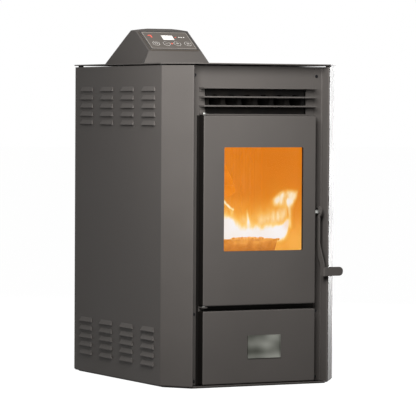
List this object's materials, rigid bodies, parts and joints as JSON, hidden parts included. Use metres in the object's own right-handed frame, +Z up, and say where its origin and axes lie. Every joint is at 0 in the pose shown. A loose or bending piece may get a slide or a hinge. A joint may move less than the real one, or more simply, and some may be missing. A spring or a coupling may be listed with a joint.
{
  "type": "pellet stove",
  "caption": "Free-standing pellet stove in dark steel: glazed door with side lever, louvred sides, warm-air grille, ash drawer and a sloping control console on top.",
  "frame": {"origin": "on the floor under the middle of the cabinet", "axes": "+X to the right seen from the front, +Y to the back, +Z up"},
  "size_m": [0.554, 0.7145, 0.9937],
  "materials": {
    "powder_coat": "satin textured powder coat, charcoal brown",
    "galvanised": "galvanised sheet, dull",
    "zinc_plate": "zinc plated, smooth",
    "stove_black": "heat-resistant matte black paint",
    "cast_iron": "rough casting, sooted",
    "raw_steel": "bare drawn steel, heat browned",
    "stainless": "stainless sheet",
    "cast_aluminium": "sand cast",
    "motor_steel": "black enamel",
    "bronze": "sintered bronze, oiled",
    "ceramic": "unglazed alumina",
    "rubber": "silicone foam, matte",
    "stove_glass": "heat-resistant ceramic glass",
    "fibre_rope": "braided glass-fibre rope, graphite coated",
    "brushed_plate": "bare brushed plate",
    "keypad_foil": "printed foil, satin grey",
    "display_lens": "pale clear lens",
    "key_plastic": "moulded, satin",
    "circuit_board": "green solder mask",
    "black_plastic": "moulded, matte"
  },
  "bodies": {
    "cabinet": {"base_pan": "powder_coat", "left_side_panel": "powder_coat", "right_side_panel": "powder_coat", "face_frame": "powder_coat", "outlet_blades": "powder_coat", "rear_panel": "galvanised", "top_plate": "powder_coat", "top_frame": "galvanised", "top_spacers": "rubber", "panel_screws": "zinc_plate", "firebox": "stove_black", "fire_back": "cast_iron", "heat_tubes": "stove_black", "flame_baffle": "stainless", "burn_pot": "cast_iron", "air_box": "stove_black", "intake_pipe": "galvanised", "igniter": "ceramic", "exhaust_manifold": "galvanised", "exhaust_blower_housing": "cast_aluminium", "exhaust_motor": "motor_steel", "flue_collar": "galvanised", "air_blower_housing": "galvanised", "blower_motor": "motor_steel", "air_duct": "galvanised", "hopper": "galvanised", "lid_gasket": "rubber", "lid_hinge_pins": "zinc_plate", "auger_tube": "raw_steel", "auger_bushing": "bronze", "auger_gearmotor": "motor_steel", "feed_chute": "raw_steel", "hinge_brackets": "powder_coat", "hinge_pins": "zinc_plate", "latch_keeper": "zinc_plate", "drawer_runners": "galvanised", "console_housing": "powder_coat", "keypad_plate": "keypad_foil", "display_window": "display_lens", "control_board": "circuit_board", "power_inlet": "black_plastic", "vacuum_switch": "black_plastic"},
    "door": {"door_frame": "powder_coat", "door_glass": "stove_glass", "glass_gasket": "fibre_rope", "glass_clips": "zinc_plate", "door_rope_gasket": "fibre_rope", "latch_pivot": "zinc_plate"},
    "latch": {"latch_lever": "powder_coat"},
    "ash_drawer": {"ash_drawer_front": "powder_coat", "badge_plate": "brushed_plate", "ash_pan": "galvanised"},
    "lid": {"hopper_lid": "powder_coat"},
    "key_a": {"key_1": "key_plastic"},
    "key_b": {"key_2": "key_plastic"},
    "key_c": {"key_3": "key_plastic"},
    "key_d": {"key_4": "key_plastic"},
    "auger": {"auger_screw": "raw_steel"},
    "exhaust_fan": {"exhaust_impeller": "stainless"},
    "air_fan": {"blower_wheel": "galvanised"}
  },
  "joints": [
    {"name": "door_hinge", "type": "hinge", "parent": "cabinet", "child": "door", "pos_m": [-0.17, -0.303, 0.487], "axis": [0, 0, -1], "range_deg": [0, 110]},
    {"name": "latch_pivot", "type": "hinge", "parent": "door", "child": "latch", "pos_m": [0.193, -0.303, 0.481], "axis": [-1, 0, 0], "range_deg": [0, 70]},
    {"name": "ash_drawer_slide", "type": "slide", "parent": "cabinet", "child": "ash_drawer", "axis": [0, -1, 0], "range_m": [0, 0.22]},
    {"name": "lid_hinge", "type": "hinge", "parent": "cabinet", "child": "lid", "pos_m": [0.111, 0.2905, 0.886], "axis": [-1, 0, 0], "range_deg": [0, 80]},
    {"name": "press_key_a", "type": "slide", "parent": "cabinet", "child": "key_a", "axis": [0, 0.5516, -0.8341], "range_m": [0, 0.0008], "stiffness_N_per_m": 1500},
    {"name": "press_key_b", "type": "slide", "parent": "cabinet", "child": "key_b", "axis": [0, 0.5516, -0.8341], "range_m": [0, 0.0008], "stiffness_N_per_m": 1500},
    {"name": "press_key_c", "type": "slide", "parent": "cabinet", "child": "key_c", "axis": [0, 0.5516, -0.8341], "range_m": [0, 0.0008], "stiffness_N_per_m": 1500},
    {"name": "press_key_d", "type": "slide", "parent": "cabinet", "child": "key_d", "axis": [0, 0.5516, -0.8341], "range_m": [0, 0.0008], "stiffness_N_per_m": 1500},
    {"name": "auger_turn", "type": "hinge", "parent": "cabinet", "child": "auger", "pos_m": [0.0115, 0.125, 0.55891], "axis": [0, 0.6428, -0.766], "continuous": true},
    {"name": "exhaust_fan_turn", "type": "hinge", "parent": "cabinet", "child": "exhaust_fan", "pos_m": [0.082, 0.06, 0.18], "axis": [1, 0, 0], "continuous": true},
    {"name": "air_fan_turn", "type": "hinge", "parent": "cabinet", "child": "air_fan", "pos_m": [-0.116, 0.07, 0.125], "axis": [1, 0, 0], "continuous": true}
  ]
}
